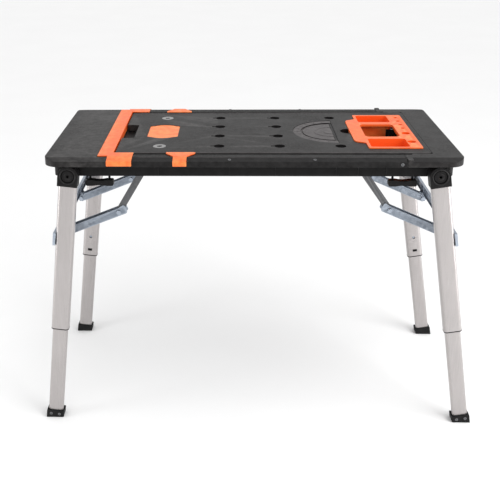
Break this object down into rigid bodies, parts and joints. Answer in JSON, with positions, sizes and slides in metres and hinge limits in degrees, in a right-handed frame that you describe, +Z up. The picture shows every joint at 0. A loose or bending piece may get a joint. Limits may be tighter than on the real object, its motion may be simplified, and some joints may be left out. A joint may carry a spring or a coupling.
{
  "type": "work platform bench",
  "caption": "Folding work platform bench with a sliding vice jaw, dog holes, a lift-out tool tray and telescopic legs on folding braces.",
  "frame": {"origin": "on the floor, under the middle of the bench's overall length and width", "axes": "+X along the bench away from the vice jaw, +Y to the back, +Z up"},
  "size_m": [1.2302, 0.5666, 0.7973],
  "materials": {
    "black_plastic": "moulded, slightly textured",
    "orange_plastic": "moulded satin",
    "aluminium": "brushed, satin anodised",
    "zinc_steel": "bright zinc",
    "dark_steel": "dull grey",
    "foot_rubber": "matt"
  },
  "bodies": {
    "top": {"underframe": "black_plastic", "front_rail": "black_plastic", "back_rail": "black_plastic", "end_cap_right": "black_plastic", "centre_board": "black_plastic", "orange_pad": "orange_plastic", "socket_front": "aluminium", "socket_back": "aluminium", "hinge_pin_left_front": "black_plastic", "hinge_pin_left_back": "black_plastic", "hinge_pin_right_front": "black_plastic", "hinge_pin_right_back": "black_plastic", "strap_left": "zinc_steel", "strap_right": "zinc_steel", "carry_grip_left": "black_plastic", "carry_grip_right": "black_plastic"},
    "tool_tray": {"tool_tray": "orange_plastic"},
    "jaw": {"jaw_plate": "black_plastic", "jaw_bumper": "orange_plastic", "jaw_guide_front": "zinc_steel", "jaw_guide_back": "zinc_steel"},
    "latch_front": {"latch_front": "orange_plastic"},
    "latch_back": {"latch_back": "orange_plastic"},
    "legs_left": {"hub_left_front": "black_plastic", "hub_left_back": "black_plastic", "outer_leg_left_front": "aluminium", "outer_leg_left_back": "aluminium", "collar_left_front": "black_plastic", "collar_left_back": "black_plastic", "crossbar_left": "zinc_steel"},
    "lower_link_left_front": {"lower_link_left_front": "zinc_steel"},
    "upper_link_left_front": {"upper_link_left_front": "dark_steel"},
    "lower_link_left_back": {"lower_link_left_back": "zinc_steel"},
    "upper_link_left_back": {"upper_link_left_back": "dark_steel"},
    "foot_leg_left_front": {"inner_leg_left_front": "aluminium", "foot_left_front": "foot_rubber"},
    "snap_button_left_front": {"snap_button_left_front": "zinc_steel"},
    "foot_leg_left_back": {"inner_leg_left_back": "aluminium", "foot_left_back": "foot_rubber"},
    "snap_button_left_back": {"snap_button_left_back": "zinc_steel"},
    "legs_right": {"hub_right_front": "black_plastic", "hub_right_back": "black_plastic", "outer_leg_right_front": "aluminium", "outer_leg_right_back": "aluminium", "collar_right_front": "black_plastic", "collar_right_back": "black_plastic", "crossbar_right": "zinc_steel"},
    "lower_link_right_front": {"lower_link_right_front": "zinc_steel"},
    "upper_link_right_front": {"upper_link_right_front": "dark_steel"},
    "lower_link_right_back": {"lower_link_right_back": "zinc_steel"},
    "upper_link_right_back": {"upper_link_right_back": "dark_steel"},
    "foot_leg_right_front": {"inner_leg_right_front": "aluminium", "foot_right_front": "foot_rubber"},
    "snap_button_right_front": {"snap_button_right_front": "zinc_steel"},
    "foot_leg_right_back": {"inner_leg_right_back": "aluminium", "foot_right_back": "foot_rubber"},
    "snap_button_right_back": {"snap_button_right_back": "zinc_steel"}
  },
  "joints": [
    {"name": "tray_lift", "type": "slide", "parent": "top", "child": "tool_tray", "axis": [0, 0, 1], "range_m": [0, 0.06]},
    {"name": "jaw_slide", "type": "slide", "parent": "top", "child": "jaw", "axis": [-1, 0, 0], "range_m": [0, 0.09]},
    {"name": "latch_front_slide", "type": "slide", "parent": "top", "child": "latch_front", "axis": [1, 0, 0], "range_m": [-0.03, 0.03]},
    {"name": "latch_back_slide", "type": "slide", "parent": "top", "child": "latch_back", "axis": [1, 0, 0], "range_m": [-0.03, 0.03]},
    {"name": "fold_left", "type": "hinge", "parent": "top", "child": "legs_left", "pos_m": [-0.50498, 0, 0.7455], "axis": [0, -1, 0], "range_deg": [0, 96.5]},
    {"name": "lower_link_left_front_pivot", "type": "hinge", "parent": "legs_left", "child": "lower_link_left_front", "pos_m": [-0.55045, -0.145, 0.53731], "axis": [0, -1, 0], "range_deg": [-118, 0]},
    {"name": "upper_link_left_front_pivot", "type": "hinge", "parent": "top", "child": "upper_link_left_front", "pos_m": [-0.29898, -0.145, 0.756], "axis": [0, -1, 0], "range_deg": [0, 113]},
    {"name": "lower_link_left_back_pivot", "type": "hinge", "parent": "legs_left", "child": "lower_link_left_back", "pos_m": [-0.55045, 0.145, 0.53731], "axis": [0, -1, 0], "range_deg": [-118, 0]},
    {"name": "upper_link_left_back_pivot", "type": "hinge", "parent": "top", "child": "upper_link_left_back", "pos_m": [-0.29898, 0.145, 0.756], "axis": [0, -1, 0], "range_deg": [0, 113]},
    {"name": "leg_length_left_front", "type": "slide", "parent": "legs_left", "child": "foot_leg_left_front", "axis": [0.1132, 0, 0.9936], "range_m": [0, 0.268]},
    {"name": "button_left_front", "type": "slide", "parent": "foot_leg_left_front", "child": "snap_button_left_front", "axis": [0, -1, 0], "range_m": [0, 0.004], "stiffness_N_per_m": 500},
    {"name": "leg_length_left_back", "type": "slide", "parent": "legs_left", "child": "foot_leg_left_back", "axis": [0.1132, 0, 0.9936], "range_m": [0, 0.268]},
    {"name": "button_left_back", "type": "slide", "parent": "foot_leg_left_back", "child": "snap_button_left_back", "axis": [0, 1, 0], "range_m": [0, 0.004], "stiffness_N_per_m": 500},
    {"name": "fold_right", "type": "hinge", "parent": "top", "child": "legs_right", "pos_m": [0.46902, 0, 0.7455], "axis": [0, 1, 0], "range_deg": [0, 99.2]},
    {"name": "lower_link_right_front_pivot", "type": "hinge", "parent": "legs_right", "child": "lower_link_right_front", "pos_m": [0.52423, -0.145, 0.53968], "axis": [0, 1, 0], "range_deg": [-123, 0]},
    {"name": "upper_link_right_front_pivot", "type": "hinge", "parent": "top", "child": "upper_link_right_front", "pos_m": [0.26302, -0.145, 0.756], "axis": [0, 1, 0], "range_deg": [0, 118]},
    {"name": "lower_link_right_back_pivot", "type": "hinge", "parent": "legs_right", "child": "lower_link_right_back", "pos_m": [0.52423, 0.145, 0.53968], "axis": [0, 1, 0], "range_deg": [-123, 0]},
    {"name": "upper_link_right_back_pivot", "type": "hinge", "parent": "top", "child": "upper_link_right_back", "pos_m": [0.26302, 0.145, 0.756], "axis": [0, 1, 0], "range_deg": [0, 118]},
    {"name": "leg_length_right_front", "type": "slide", "parent": "legs_right", "child": "foot_leg_right_front", "axis": [-0.1599, 0, 0.9871], "range_m": [0, 0.273]},
    {"name": "button_right_front", "type": "slide", "parent": "foot_leg_right_front", "child": "snap_button_right_front", "axis": [0, -1, 0], "range_m": [0, 0.004], "stiffness_N_per_m": 500},
    {"name": "leg_length_right_back", "type": "slide", "parent": "legs_right", "child": "foot_leg_right_back", "axis": [-0.1599, 0, 0.9871], "range_m": [0, 0.273]},
    {"name": "button_right_back", "type": "slide", "parent": "foot_leg_right_back", "child": "snap_button_right_back", "axis": [0, 1, 0], "range_m": [0, 0.004], "stiffness_N_per_m": 500}
  ],
  "couplings": [
    {"joint": "lower_link_left_front_pivot", "follows": "fold_left", "ratio": -1.2089},
    {"joint": "upper_link_left_front_pivot", "follows": "fold_left", "ratio": 1.1601},
    {"joint": "lower_link_left_back_pivot", "follows": "fold_left", "ratio": -1.2089},
    {"joint": "upper_link_left_back_pivot", "follows": "fold_left", "ratio": 1.1601},
    {"joint": "lower_link_right_front_pivot", "follows": "fold_right", "ratio": -1.2229},
    {"joint": "upper_link_right_front_pivot", "follows": "fold_right", "ratio": 1.1745},
    {"joint": "lower_link_right_back_pivot", "follows": "fold_right", "ratio": -1.2229},
    {"joint": "upper_link_right_back_pivot", "follows": "fold_right", "ratio": 1.1745}
  ]
}
